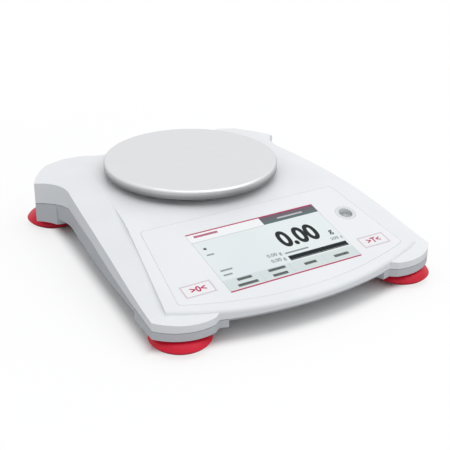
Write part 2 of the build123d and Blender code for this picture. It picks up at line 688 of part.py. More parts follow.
def level_cup():
    """Cup of the circular level, flush with the panel, with an upright well."""
    cup = panel_post(LEVEL_X, LEVEL_S, LEVEL_RADIUS, 0, -LEVEL_DEPTH)
    cup += panel_post(LEVEL_X, LEVEL_S, LEVEL_FLANGE_RADIUS, -LEVEL_SEAT, -LEVEL_SEAT - LEVEL_FLANGE_THICKNESS)
    cup -= post(LEVEL_X, LEVEL_Y, LEVEL_VIAL_TOP_Z - LEVEL_VIAL_HEIGHT, HIGH_Z, LEVEL_VIAL_RADIUS + RUN)
    return cup


def level_vial():
    """Glass vial that stands truly upright in its cup."""
    return post(LEVEL_X, LEVEL_Y, LEVEL_VIAL_TOP_Z - LEVEL_VIAL_HEIGHT, LEVEL_VIAL_TOP_Z, LEVEL_VIAL_RADIUS)


def weighing_pan():
    """Round pan pressed from stainless sheet, with a turned-down skirt."""
    low = PAN_TOP_Z - PAN_SKIRT
    pan = post(0, PAN_Y, low, PAN_TOP_Z, PAN_RADIUS)
    pan = fillet(pan.edges().group_by(Axis.Z)[-1], PAN_EDGE_RADIUS)
    inside = post(0, PAN_Y, low, PAN_UNDER_Z, PAN_RADIUS - PAN_SHEET)
    inside = fillet(inside.edges().group_by(Axis.Z)[-1], PAN_EDGE_RADIUS - PAN_SHEET)
    return pan - inside


def bumper_places():
    angles = [2 * math.pi * i / BUMPER_COUNT for i in range(BUMPER_COUNT)]
    return [(BUMPER_CIRCLE * math.cos(a), PAN_Y + BUMPER_CIRCLE * math.sin(a)) for a in angles]


def pan_support():
    """Round support with a rim and ribs under its plate and a sleeve that drops over the hub."""
    rib_low = SUPPORT_BOTTOM_Z - SUPPORT_RIB_HEIGHT
    support = post(0, PAN_Y, SUPPORT_BOTTOM_Z, SUPPORT_BOTTOM_Z + SUPPORT_THICKNESS, SUPPORT_RADIUS)
    support += post(0, PAN_Y, rib_low, SUPPORT_BOTTOM_Z, SUPPORT_RADIUS)
    support -= post(0, PAN_Y, rib_low, SUPPORT_BOTTOM_Z, SUPPORT_RADIUS - SUPPORT_RIB_WIDTH)
    rib = Box(2 * SUPPORT_RADIUS - SUPPORT_RIB_WIDTH, SUPPORT_RIB_WIDTH, SUPPORT_RIB_HEIGHT)
    for angle in range(0, 180, 180 // SUPPORT_RIB_PAIRS):
        support += Pos(0, PAN_Y, rib_low + SUPPORT_RIB_HEIGHT / 2) * Rot(0, 0, angle) * rib
    support += post(0, PAN_Y, SLEEVE_BOTTOM_Z, SUPPORT_BOTTOM_Z, HUB_RADIUS + RUN + SLEEVE_WALL)
    support -= post(0, PAN_Y, SLEEVE_BOTTOM_Z, HUB_TOP_Z, HUB_RADIUS + RUN)
    return support


def pan_bumpers():
    """Rubber buffers between the support and the pan."""
    bumpers = Part()
    for x, y in bumper_places():
        bumpers += post(x, y, SUPPORT_BOTTOM_Z + SUPPORT_THICKNESS, PAN_UNDER_Z, BUMPER_RADIUS)
    return bumpers


def load_cell():
    """Single-point load cell: aluminium bar with four thinned places between joined round holes."""
    bar = block(-CELL_END, CELL_END, PAN_Y - CELL_WIDTH / 2, PAN_Y + CELL_WIDTH / 2, CELL_BOTTOM_Z, CELL_TOP_Z)
    middle_z = (CELL_BOTTOM_Z + CELL_TOP_Z) / 2
    for x in (-CELL_HOLE_SPACING / 2, CELL_HOLE_SPACING / 2):
        bar -= Pos(x, PAN_Y, middle_z) * Rot(90, 0, 0) * Cylinder(CELL_HOLE_RADIUS, CELL_WIDTH)
    bar -= block(-CELL_HOLE_SPACING / 2, CELL_HOLE_SPACING / 2, PAN_Y - CELL_WIDTH / 2, PAN_Y + CELL_WIDTH / 2,
                 middle_z - CELL_SLOT / 2, middle_z + CELL_SLOT / 2)
    for x in cell_screw_places(-1):
        bar -= post(x, PAN_Y, CELL_BOTTOM_Z, CELL_BOTTOM_Z + CELL_THREAD, CELL_SCREW_RADIUS)
    for x in cell_screw_places(1):
        bar -= post(x, PAN_Y, CELL_TOP_Z - CELL_THREAD, CELL_TOP_Z, CELL_SCREW_RADIUS)
    return bar


def cell_screw_places(side):
    """Places along the bar of the two screws at one end."""
    outer = CELL_END - CELL_SCREW_EDGE
    return [side * outer, side * (outer - CELL_SCREW_PITCH)]


def base_screw_places():
    """Screws that hold the base plate to the floor, at its corners."""
    x = BASE_PLATE_LENGTH / 2 - BASE_SCREW_EDGE
    y = BASE_PLATE_WIDTH / 2 - BASE_SCREW_EDGE
    return [(i * x, PAN_Y + j * y) for i in (-1, 1) for j in (-1, 1)]


def base_plate():
    """Metal plate on the floor that carries the fixed end of the load cell on a raised pad."""
    half = BASE_PLATE_LENGTH / 2
    side = BASE_PLATE_WIDTH / 2
    plate = block(-half, half, PAN_Y - side, PAN_Y + side, FLOOR_TOP, BASE_PLATE_TOP)
    plate += block(-CELL_END, -CELL_END + CELL_PAD_LENGTH, PAN_Y - CELL_WIDTH / 2, PAN_Y + CELL_WIDTH / 2,
                   BASE_PLATE_TOP, CELL_BOTTOM_Z)
    for x in cell_screw_places(-1):
        plate -= post(x, PAN_Y, FLOOR_TOP, CELL_BOTTOM_Z, CELL_SCREW_RADIUS)
        plate -= post(x, PAN_Y, FLOOR_TOP, FLOOR_TOP + CELL_HEAD_THICKNESS, CELL_HEAD_RADIUS + FIT)
    plate -= post(LOCK_X, PAN_Y, FLOOR_TOP, BASE_PLATE_TOP, LOCK_RADIUS + LOCK_FLANGE + LOOSE)
    plate -= post(HOOK_X, PAN_Y, FLOOR_TOP, BASE_PLATE_TOP, PORT_RADIUS + LOOSE)
    plate -= post(STOP_X, PAN_Y, FLOOR_TOP, BASE_PLATE_TOP, STOP_SCREW_RADIUS)
    for x, y in base_screw_places():
        plate -= post(x, y, FLOOR_TOP, BASE_PLATE_TOP, SCREW_RADIUS)
    return plate


def base_screws():
    """Four screws from below the floor into the base plate."""
    screws = Part()
    for x, y in base_screw_places():
        screws += post(x, y, FLOOR_TOP - SCREW_HEAD_THICKNESS, FLOOR_TOP, SCREW_HEAD_RADIUS)
        screws += post(x, y, FLOOR_TOP, BASE_PLATE_TOP, SCREW_RADIUS - RUN)
    return screws


def cell_screws():
    """Two screws into each end of the load cell: from below at the fixed end, from above at the free one."""
    screws = Part()
    for x in cell_screw_places(-1):
        screws += post(x, PAN_Y, FLOOR_TOP, FLOOR_TOP + CELL_HEAD_THICKNESS, CELL_HEAD_RADIUS)
        screws += post(x, PAN_Y, FLOOR_TOP + CELL_HEAD_THICKNESS, CELL_BOTTOM_Z + CELL_THREAD - THREAD_SPARE,
                       CELL_SCREW_RADIUS - RUN)
    for x in cell_screw_places(1):
        screws += post(x, PAN_Y, HUB_PLATE_TOP_Z, HUB_PLATE_TOP_Z + CELL_HEAD_THICKNESS, CELL_HEAD_RADIUS)
        screws += post(x, PAN_Y, CELL_TOP_Z - CELL_THREAD + THREAD_SPARE, HUB_PLATE_TOP_Z,
                       CELL_SCREW_RADIUS - RUN)
    return screws


def pan_hub():
    """Bridge from the free end of the load cell back to the middle, with the upright hub."""
    half = CELL_WIDTH / 2
    plate_bottom = CELL_TOP_Z + CELL_GAP
    hub = block(0, CELL_END, PAN_Y - half, PAN_Y + half, plate_bottom, HUB_PLATE_TOP_Z)
    hub += post(0, PAN_Y, plate_bottom, HUB_PLATE_TOP_Z, half)
    hub += block(CELL_END - CELL_PAD_LENGTH, CELL_END, PAN_Y - half, PAN_Y + half, CELL_TOP_Z, plate_bottom)
    pin = post(0, PAN_Y, HUB_PLATE_TOP_Z, HUB_TOP_Z, HUB_RADIUS)
    hub += chamfer(pin.edges().group_by(Axis.Z)[-1], HUB_CHAMFER)
    for x in cell_screw_places(1):
        hub -= post(x, PAN_Y, CELL_TOP_Z, HUB_PLATE_TOP_Z, CELL_SCREW_RADIUS)
    return hub


def overload_stop():
    """Stop screw in the base plate, just under the free end of the load cell."""
    return post(STOP_X, PAN_Y, FLOOR_TOP, CELL_BOTTOM_Z - LOOSE, STOP_SCREW_RADIUS)


def transport_lock():
    """Quarter-turn lock in the floor with a slot for a coin and a post under the load cell."""
    knob = post(LOCK_X, PAN_Y, FLOOR_Z + SCREW_SINK, FLOOR_TOP, LOCK_RADIUS)
    knob += post(LOCK_X, PAN_Y, FLOOR_TOP, FLOOR_TOP + LOCK_FLANGE_THICKNESS, LOCK_RADIUS + LOCK_FLANGE)
    knob += post(LOCK_X - LOCK_POST_OFFSET, PAN_Y, FLOOR_TOP, CELL_BOTTOM_Z - LOOSE, LOCK_POST_RADIUS)
    knob -= block(LOCK_X - LOCK_SLOT_LENGTH / 2, LOCK_X + LOCK_SLOT_LENGTH / 2, PAN_Y - LOCK_SLOT_WIDTH / 2,
                  PAN_Y + LOCK_SLOT_WIDTH / 2, FLOOR_Z, FLOOR_Z + LOCK_SLOT_DEPTH)
    return knob


def weigh_below_hook():
    """Flat eye under the free end of the load cell, reached through the port in the floor."""
    half = HOOK_WIDTH / 2
    middle_z = FLOOR_Z + PLUG_THICKNESS + HOOK_CLEARANCE + half
    eye = Pos(HOOK_X, PAN_Y, middle_z) * Rot(90, 0, 0) * Cylinder(half, HOOK_THICKNESS)
    eye += block(HOOK_X - half, HOOK_X + half, PAN_Y - HOOK_THICKNESS / 2, PAN_Y + HOOK_THICKNESS / 2,
                 middle_z, CELL_BOTTOM_Z)
    eye -= Pos(HOOK_X, PAN_Y, middle_z) * Rot(90, 0, 0) * Cylinder(HOOK_EYE_RADIUS, HOOK_THICKNESS)
    return eye


def hook_port_plug():
    """Round plug that closes the port of the hook."""
    plug = post(HOOK_X, PAN_Y, FLOOR_Z, FLOOR_Z + PLUG_THICKNESS, PORT_RADIUS)
    plug -= post(HOOK_X - PORT_RADIUS, PAN_Y, FLOOR_Z, FLOOR_Z + PLUG_THICKNESS / 2, PLUG_GRIP_RADIUS)
    return plug


def battery_bay(grow, z0, z1):
    """Prism of the battery space, grown by an amount all round."""
    half_x = BAY_HALF_LENGTH + grow
    half_y = BAY_HALF_WIDTH + grow
    return block(-half_x, half_x, BATTERY_Y - half_y, BATTERY_Y + half_y, z0, z1)


def battery_holder():
    """Open-bottomed tub over the batteries, with a flange on the floor and a middle wall."""
    holder = battery_bay(HOLDER_WALL, COVER_TOP_Z, BAY_TOP_Z + HOLDER_WALL)
    holder += battery_bay(HOLDER_WALL + HOLDER_FLANGE, FLOOR_TOP, FLOOR_TOP + HOLDER_WALL)
    holder -= battery_bay(0, COVER_TOP_Z, BAY_TOP_Z)
    holder += block(-HOLDER_WALL / 2, HOLDER_WALL / 2, BATTERY_Y - BAY_HALF_WIDTH, BATTERY_Y + BAY_HALF_WIDTH,
                    COVER_TOP_Z, BAY_TOP_Z)
    return holder


def battery_cover():
    """Cover flush with the floor, with a finger notch over its latch."""
    cover = battery_bay(HOLDER_WALL, FLOOR_Z, COVER_TOP_Z)
    notch = block(-COVER_NOTCH / 2, COVER_NOTCH / 2, BATTERY_Y + BAY_HALF_WIDTH - COVER_NOTCH / 2,
                  BATTERY_Y + BAY_HALF_WIDTH, FLOOR_Z, FLOOR_Z + COVER_THICKNESS / 2)
    return cover - notch


def battery_axes():
    """Start of each cell at its flat end, and the way that its tip points."""
    y = CELL_AA_RADIUS + BATTERY_ROW_GAP / 2
    axes = []
    for bay in (-1, 1):
        for row in (-1, 1):
            way = bay * row
            near = bay * HOLDER_WALL / 2
            far = bay * BAY_HALF_LENGTH
            flat = near if way == bay else far
            axes.append((flat + way * CONTACT_ROOM, BATTERY_Y + row * y, way))
    return axes


def lying_cylinder(x0, x1, y, radius):
    """Cylinder along X at the height of the batteries."""
    return Pos((x0 + x1) / 2, y, BATTERY_Z) * Rot(0, 90, 0) * Cylinder(radius, abs(x1 - x0))


def battery_cells():
    """Four round cells, each with its raised tip."""
    cells = Part()
    for x, y, way in battery_axes():
        end = x + way * CELL_AA_LENGTH
        cells += lying_cylinder(x, end, y, CELL_AA_RADIUS)
        cells += lying_cylinder(end, end + way * CELL_AA_TIP, y, CELL_AA_TIP_RADIUS)
    return cells


def battery_contacts():
    """Spring at the flat end and plate at the tip of each cell."""
    contacts = Part()
    for x, y, way in battery_axes():
        wall = x - way * CONTACT_ROOM
        contacts += lying_cylinder(wall, wall + way * CONTACT_PLATE, y, CONTACT_RADIUS)
        cone = Cone(CONTACT_COIL_RADIUS, CELL_AA_TIP_RADIUS, CONTACT_ROOM - CONTACT_PLATE)
        middle = (wall + way * CONTACT_PLATE + x) / 2
        contacts += Pos(middle, y, BATTERY_Z) * Rot(0, way * 90, 0) * cone
        tip = x + way * (CELL_AA_LENGTH + CELL_AA_TIP)
        contacts += lying_cylinder(tip, tip + way * CONTACT_PLATE, y, CONTACT_RADIUS)
    return contacts


def board_post_places():
    x = MAIN_BOARD_WIDTH / 2 - POST_INSET
    y = [BOARD_REAR_Y - POST_INSET, BOARD_REAR_Y - MAIN_BOARD_DEPTH + POST_INSET]
    return [(side * x, place) for side in (-1, 1) for place in y]


def main_board():
    """Main board at the rear on four posts of the tray."""
    half = MAIN_BOARD_WIDTH / 2
    board = block(-half, half, BOARD_REAR_Y - MAIN_BOARD_DEPTH, BOARD_REAR_Y, MAIN_BOARD_Z, BOARD_TOP_Z)
    for x, y in board_post_places():
        board -= post(x, y, MAIN_BOARD_Z, BOARD_TOP_Z, SCREW_RADIUS)
    return board


def board_screws():
    """Screws of the main board."""
    screws = Part()
    for x, y in board_post_places():
        screws += post(x, y, BOARD_TOP_Z, BOARD_TOP_Z + SCREW_HEAD_THICKNESS, SCREW_HEAD_RADIUS)
        screws += post(x, y, FLOOR_TOP + THREAD_SPARE, BOARD_TOP_Z, SCREW_RADIUS - RUN)
    return screws


def connector_block(x, width, height):
    """Body of a rear connector on the board, level with the rear wall."""
    return block(x - width / 2, x + width / 2, RECESS_Y - CONNECTOR_DEPTH, RECESS_Y, BOARD_TOP_Z,
                 BOARD_TOP_Z + height)


def power_inlet():
    """Low-voltage inlet with its centre pin."""
    centre_z = BOARD_TOP_Z + INLET_HEIGHT / 2
    depth = CONNECTOR_DEPTH - CONNECTOR_BACK
    place = Pos(INLET_X, RECESS_Y - depth / 2, centre_z) * Rot(90, 0, 0)
    body = connector_block(INLET_X, INLET_WIDTH, INLET_HEIGHT)
    return body - place * Cylinder(INLET_BORE_RADIUS, depth) + place * Cylinder(INLET_PIN_RADIUS, depth)


def data_port():
    """Square data connector with its tongue."""
    low = BOARD_TOP_Z + PORT_SHELL
    high = BOARD_TOP_Z + DATA_PORT_HEIGHT - PORT_SHELL
    half = DATA_PORT_WIDTH / 2 - PORT_SHELL
    depth = CONNECTOR_DEPTH - CONNECTOR_BACK
    body = connector_block(PORT_X, DATA_PORT_WIDTH, DATA_PORT_HEIGHT)
    body -= block(PORT_X - half, PORT_X + half, RECESS_Y - depth, RECESS_Y, low, high)
    middle = (low + high) / 2
    body += block(PORT_X - half / 2, PORT_X + half / 2, RECESS_Y - depth, RECESS_Y - PORT_TONGUE_SETBACK,
                  middle - PORT_TONGUE / 2, middle + PORT_TONGUE / 2)
    return body


def lock_switch():
    """Slide switch behind the rear wall that locks the settings."""
    rear = RECESS_Y - WALL - LOOSE
    half = LOCK_SWITCH_WIDTH / 2
    body = block(LOCK_SWITCH_X - half, LOCK_SWITCH_X + half, rear - LOCK_SWITCH_DEPTH, rear, BOARD_TOP_Z,
                 BOARD_TOP_Z + LOCK_SWITCH_HEIGHT)
    reach = (LOCK_SLIDER_WIDTH + LOCK_SLIDER_TRAVEL) / 2 + FIT
    rise = LOCK_SLIDER_HEIGHT / 2 + FIT
    body -= block(LOCK_SWITCH_X - reach, LOCK_SWITCH_X + reach, rear - LOCK_SLIDER_ROOT, rear,
                  LOCK_SLIDER_Z - rise, LOCK_SLIDER_Z + rise)
    return body


def lock_slider():
    """Thumb piece of the lock switch, at one end of its slot."""
    rear = RECESS_Y - WALL - LOOSE
    x = LOCK_SWITCH_X - LOCK_SLIDER_TRAVEL / 2
    return block(x - LOCK_SLIDER_WIDTH / 2, x + LOCK_SLIDER_WIDTH / 2, rear - LOCK_SLIDER_ROOT + FIT,
                 RECESS_Y + LOCK_SLIDER_PROUD, LOCK_SLIDER_Z - LOCK_SLIDER_HEIGHT / 2,
                 LOCK_SLIDER_Z + LOCK_SLIDER_HEIGHT / 2)


def foot_inserts():
    """Threaded insert in each pod, shown with a plain bore."""
    inserts = Part()
    for x, y in FEET.values():
        ring = post(x, y, POD_Z, STUD_TOP_Z, INSERT_RADIUS) - post(x, y, POD_Z, STUD_TOP_Z, STUD_RADIUS + RUN)
        inserts += ring
    return inserts


def foot_wheel(x, y):
    """Thumb wheel of a levelling foot, rounded under its rim and recessed for the pad."""
    rim = WHEEL_RADIUS - WHEEL_TOP_ROUNDING
    profile = Line((0, WHEEL_BOTTOM_Z), (WHEEL_BOTTOM_RADIUS, WHEEL_BOTTOM_Z))
    profile += ThreePointArc((WHEEL_BOTTOM_RADIUS, WHEEL_BOTTOM_Z), wheel_bulge_middle(),
                             (WHEEL_RADIUS, WHEEL_BULGE_Z))
    profile += Line((WHEEL_RADIUS, WHEEL_BULGE_Z), (WHEEL_RADIUS, WHEEL_TOP_Z - WHEEL_TOP_ROUNDING))
    profile += RadiusArc((WHEEL_RADIUS, WHEEL_TOP_Z - WHEEL_TOP_ROUNDING), (rim, WHEEL_TOP_Z),
                         -WHEEL_TOP_ROUNDING)
    profile += Polyline((rim, WHEEL_TOP_Z), (0, WHEEL_TOP_Z), (0, WHEEL_BOTTOM_Z))
    wheel = Pos(x, y, 0) * revolve(Plane.XZ * make_face(profile), Axis.Z)
    wheel -= post(x, y, 0, PAD_THICKNESS, PAD_RADIUS + LOOSE)
    wheel -= post(x, y, PAD_THICKNESS, PAD_THICKNESS + PAD_PIN_LENGTH + LOOSE, PAD_PIN_RADIUS + RUN)
    wheel -= post(x, y, STUD_BOTTOM_Z, WHEEL_TOP_Z, STUD_RADIUS)
    return wheel


def wheel_bulge_middle():
    """Middle of the arc that rounds the wheel out from its underside."""
    rise = WHEEL_BULGE_Z - WHEEL_BOTTOM_Z
    run = WHEEL_RADIUS - WHEEL_BOTTOM_RADIUS
    return (WHEEL_BOTTOM_RADIUS + WHEEL_ARC_OUT * run, WHEEL_BOTTOM_Z + WHEEL_ARC_UP * rise)


def foot_stud(x, y):
    """Stud that screws into the insert of the pod, shown with a plain shank."""
    stud = post(x, y, STUD_BOTTOM_Z, STUD_TOP_Z, STUD_RADIUS)
    return chamfer(stud.edges().group_by(Axis.Z)[-1], STUD_CHAMFER)


def foot_pad(x, y):
    """Rubber pad that stays still on the bench while its wheel turns on the pin."""
    pad = post(x, y, 0, PAD_THICKNESS, PAD_RADIUS)
    pad += post(x, y, PAD_THICKNESS, PAD_THICKNESS + PAD_PIN_LENGTH, PAD_PIN_RADIUS)
    return pad


def write(name, solid):
    export_step(solid, os.path.join("parts", name + ".step"))


def main():
    os.makedirs("parts", exist_ok=True)
    makers = (top_housing, bottom_housing, housing_screws, display_overlay, touch_glass, display_module,
              display_bracket, bracket_screws, display_board, key_boards, key_switches, level_cup, level_vial,
              weighing_pan, pan_support, pan_bumpers, load_cell, base_plate, base_screws, cell_screws, pan_hub,
              overload_stop, transport_lock, weigh_below_hook, hook_port_plug, battery_holder, battery_cover,
              battery_cells, battery_contacts, main_board, board_screws, power_inlet, data_port, lock_switch,
              lock_slider, foot_inserts)
    for maker in makers:
        write(maker.__name__, maker())
    write("zero_key", key(-1))
    write("tare_key", key(1))
    for name, (x, y) in FEET.items():
        write("foot_wheel_" + name, foot_wheel(x, y))
        write("foot_stud_" + name, foot_stud(x, y))
        write("foot_pad_" + name, foot_pad(x, y))


if __name__ == "__main__":
    main()
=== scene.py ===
import json
import math

import bpy
from mathutils import Matrix, Vector


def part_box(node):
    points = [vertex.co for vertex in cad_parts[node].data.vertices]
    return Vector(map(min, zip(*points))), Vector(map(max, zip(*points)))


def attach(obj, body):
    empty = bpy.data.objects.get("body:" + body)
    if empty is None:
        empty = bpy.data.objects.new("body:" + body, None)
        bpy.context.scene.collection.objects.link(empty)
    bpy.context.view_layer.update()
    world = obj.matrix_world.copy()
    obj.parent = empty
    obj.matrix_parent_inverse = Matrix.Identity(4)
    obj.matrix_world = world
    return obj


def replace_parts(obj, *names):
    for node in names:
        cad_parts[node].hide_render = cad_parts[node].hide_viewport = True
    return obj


# Looks of a portable balance: white moulded housing, sloped touch display, round steel pan and
# red levelling feet.
# Metres, in the frame of the solids: +X right, +Y rear, +Z up, bench at height 0.

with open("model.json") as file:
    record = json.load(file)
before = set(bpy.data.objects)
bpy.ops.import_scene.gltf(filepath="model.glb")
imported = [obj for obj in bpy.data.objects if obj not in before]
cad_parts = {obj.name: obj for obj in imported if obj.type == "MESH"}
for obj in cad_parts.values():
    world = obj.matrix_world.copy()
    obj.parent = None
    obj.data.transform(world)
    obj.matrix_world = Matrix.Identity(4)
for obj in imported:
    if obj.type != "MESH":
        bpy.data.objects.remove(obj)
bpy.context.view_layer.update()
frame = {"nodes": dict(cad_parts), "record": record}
nodes = frame["nodes"]


def middle(node):
    """Centre of a node's box."""
    low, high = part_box(node)
    return (low + high) / 2


# The sloped panel
TILT = math.radians(13.8)
PANEL = Vector((0.0, -0.0683, 0.0309))
KEY_X = middle("tare_key").x
KEY_S = -0.0186
KEY_FRAME_HALF = (9.8, 4.8)
KEY_FRAME_LINE = 0.45
LEVEL = middle("level_vial")
PRINT_HEIGHT = 0.00002
PRINT_THICKNESS = 0.000015
STROKES_PER_MM = 0.75
STROKE_SHARE = 0.84

# The pan and the feet
PAN_Y = middle("weighing_pan").y
PAN_TOP_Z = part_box("weighing_pan")[1].z
# Painted shade down the pan's skirt: where it starts and ends below the top, and its share of the steel
# colour
SKIRT_PAINTED_SHADE_START = 0.0004
SKIRT_PAINTED_SHADE_END = 0.0056
SKIRT_PAINTED_SHADE_SHARE = 0.34
SIDES = ("front_left", "front_right", "rear_left", "rear_right")
FEET = {side: middle("foot_wheel_" + side) for side in SIDES}
WHEEL_TOP_Z = 0.0090
WHEEL_FOOT = (0.0142, 0.0012)
WHEEL_RIM = (0.0187, 0.0046)
WHEEL_CROWN = (0.0126, WHEEL_TOP_Z)
WHEEL_LOWER_BULGE = 0.00055
WHEEL_UPPER_BULGE = 0.0009
PIN_BORE = (0.00305, 0.0051)
PAD_RECESS = (0.0139, 0.0023)
PAD_RADIUS = 0.0136
PAD_TOP_Z = 0.0022
PAD_PIN = (0.003, 0.0048)

# Screws: places, the heights of their seats and their sizes
HOUSING_SCREWS = ((0.088, -0.066), (0.080, 0.004), (0.074, 0.070))
HOUSING_SEAT_Z = 0.0150
BASE_SCREW_X = 0.048
BASE_SCREW_Y = 0.013
BASE_SEAT_Z = 0.0160
SCREW_HEAD_RADIUS = 0.0028
SCREW_SHANK_RADIUS = 0.00145

# Footprint of the housing on the floor, where the contact shadow keeps its full depth
FOOTPRINT_HALF_WIDTH = 0.0913
FOOTPRINT_TAPER = 0.102
FOOTPRINT_FRONT = 0.115
FOOTPRINT_BOW = 2.1
FOOTPRINT_REAR = 0.100
ROOM_LIGHT = 0.78

# Camera, solved from the photograph's outline: where it stands, how it is turned and its lens
CAMERA_PLACE = (-0.315687, -0.525100, 0.305455)
CAMERA_AZIMUTH = math.radians(-31.4896)
CAMERA_ELEVATION = math.radians(25.1940)
CAMERA_ROLL = math.radians(0.6024)
CAMERA_LENS = 79.54
CAMERA_SENSOR = 36.0

panel_place = Matrix.Translation(PANEL) @ Matrix.Rotation(TILT, 4, "X")


# Shader maths

class Wire:
    """A socket that Python expressions can add to, multiply, compare and so on."""

    def __init__(self, tree, socket):
        self.tree = tree
        self.socket = socket

    def maths(self, operation, *others):
        node = self.tree.nodes.new("ShaderNodeMath")
        node.operation = operation
        for place, value in zip(node.inputs, others):
            feed(self.tree, value, place)
        return Wire(self.tree, node.outputs[0])

    def __add__(self, other):
        return self.maths("ADD", self, other)

    def __radd__(self, other):
        return self.maths("ADD", other, self)

    def __sub__(self, other):
        return self.maths("SUBTRACT", self, other)

    def __rsub__(self, other):
        return self.maths("SUBTRACT", other, self)

    def __mul__(self, other):
        return self.maths("MULTIPLY", self, other)

    def __rmul__(self, other):
        return self.maths("MULTIPLY", other, self)

    def __abs__(self):
        return self.maths("ABSOLUTE", self)

    def __lt__(self, other):
        return self.maths("LESS_THAN", self, other)

    def __gt__(self, other):
        return self.maths("GREATER_THAN", self, other)

    def __or__(self, other):
        return self.maths("MAXIMUM", self, other)

    def root(self):
        return self.maths("SQRT", self)

    def fraction(self):
        return self.maths("FRACT", self)


def feed(tree, value, place):
    """Links a wire into a socket, or writes a plain value there."""
    if isinstance(value, Wire):
        tree.links.new(value.socket, place)
    else:
        place.default_value = value


class Finish:
    """A material in the making, around one Principled shader."""

    def __init__(self, name, **constants):
        self.material = bpy.data.materials.new(name)
        self.material.use_nodes = True
        self.tree = self.material.node_tree
        self.shader = self.tree.nodes["Principled BSDF"]
        for label, value in constants.items():
            self.shader.inputs[label.replace("_", " ")].default_value = value

    def node(self, kind, settings=None, output=0, **inputs):
        """Any other node: its type, its settings, then the values or wires of its sockets."""
        node = self.tree.nodes.new("ShaderNode" + kind)
        for label, value in (settings or {}).items():
            setattr(node, label, value)
        for label, value in inputs.items():
            feed(self.tree, value, node.inputs[label.replace("_", " ")])
        return Wire(self.tree, node.outputs[output])

    def place(self):
        """Object coordinates, in metres."""
        return self.node("TexCoord", output="Object")

    def moved(self, origin=(0, 0, 0), turn=(0, 0, 0), scale=(1, 1, 1)):
        """Object coordinates measured from an origin along turned axes, in units of the scale."""
        return self.node("Mapping", {"vector_type": "TEXTURE"}, Vector=self.place(), Location=origin,
                         Rotation=turn, Scale=scale)

    def axes(self, vector):
        split = self.tree.nodes.new("ShaderNodeSeparateXYZ")
        feed(self.tree, vector, split.inputs[0])
        return [Wire(self.tree, output) for output in split.outputs]

    def noise(self, vector, scale, detail=2.0, roughness=0.5):
        return self.node("TexNoise", Vector=vector, Scale=scale, Detail=detail, Roughness=roughness)

    def ramp(self, amount, low, high, start=0.0, end=1.0):
        """Smooth change from start to end as the amount goes from low to high."""
        return self.node("MapRange", {"interpolation_type": "SMOOTHSTEP"}, Value=amount, From_Min=low,
                         From_Max=high, To_Min=start, To_Max=end)

    def blend(self, share, first, second):
        """Mixes two colours."""
        mix = self.tree.nodes.new("ShaderNodeMix")
        mix.data_type = "RGBA"
        feed(self.tree, share, mix.inputs["Factor"])
        for label, value in (("A", first), ("B", second)):
            place = [s for s in mix.inputs if s.name == label and s.type == "RGBA"][0]
            feed(self.tree, value if isinstance(value, Wire) else colour(value), place)
        return Wire(self.tree, [s for s in mix.outputs if s.type == "RGBA"][0])

    def bump(self, height, strength, distance):
        normal = self.node("Bump", Height=height, Strength=strength, Distance=distance)
        feed(self.tree, normal, self.shader.inputs["Normal"])

    def wear(self, **varying):
        """Feeds varying values into the shader."""
        for label, value in varying.items():
            feed(self.tree, value, self.shader.inputs[label.replace("_", " ")])
        return self.material


def colour(value):
    return (*value, 1.0) if len(value) == 3 else value


def rectangle(u, v, left, right, low, high):
    """Mask of an upright rectangle, in the units of u and v."""
    across = abs(u - (left + right) / 2) < (right - left) / 2
    along = abs(v - (low + high) / 2) < (high - low) / 2
    return across * along


def any_of(masks):
    total = masks[0]
    for mask in masks[1:]:
        total = total | mask
    return total


# Finishes

def moulded_plastic(name, shade, grain=0.35, roughness=0.42, coat=0.06):
    """Satin moulded plastic: fine spark-eroded grain, slight cloudiness and handling marks."""
    finish = Finish(name, IOR=1.48, Coat_Weight=coat, Coat_Roughness=0.25)
    place = finish.place()
    fine = finish.noise(place, 2600.0, 3.0, 0.6)
    cloud = finish.noise(place, 22.0, 3.0, 0.5)
    lighter = [min(1.0, c * 1.015) for c in shade]
    darker = [c * 0.975 for c in shade]
    finish.bump(fine, grain, 0.00002)
    return finish.wear(Base_Color=finish.blend(finish.ramp(cloud, 0.3, 0.7), darker, lighter),
                       Roughness=roughness + 0.07 * (fine - 0.5) + 0.10 * (cloud - 0.5))


def printed_overlay():
    """Polyester sheet with a fine texture and slight cloudiness."""
    finish = Finish("overlay_sheet", IOR=1.5)
    place = finish.place()
    fine = finish.noise(place, 3800.0, 2.0, 0.6)
    cloud = finish.noise(place, 15.0, 2.0, 0.5)
    finish.bump(fine, 0.25, 0.00001)
    shade = finish.blend(finish.ramp(cloud, 0.3, 0.7), (0.79, 0.805, 0.825), (0.82, 0.83, 0.85))
    return finish.wear(Base_Color=shade, Roughness=0.38 + 0.08 * (fine - 0.5))


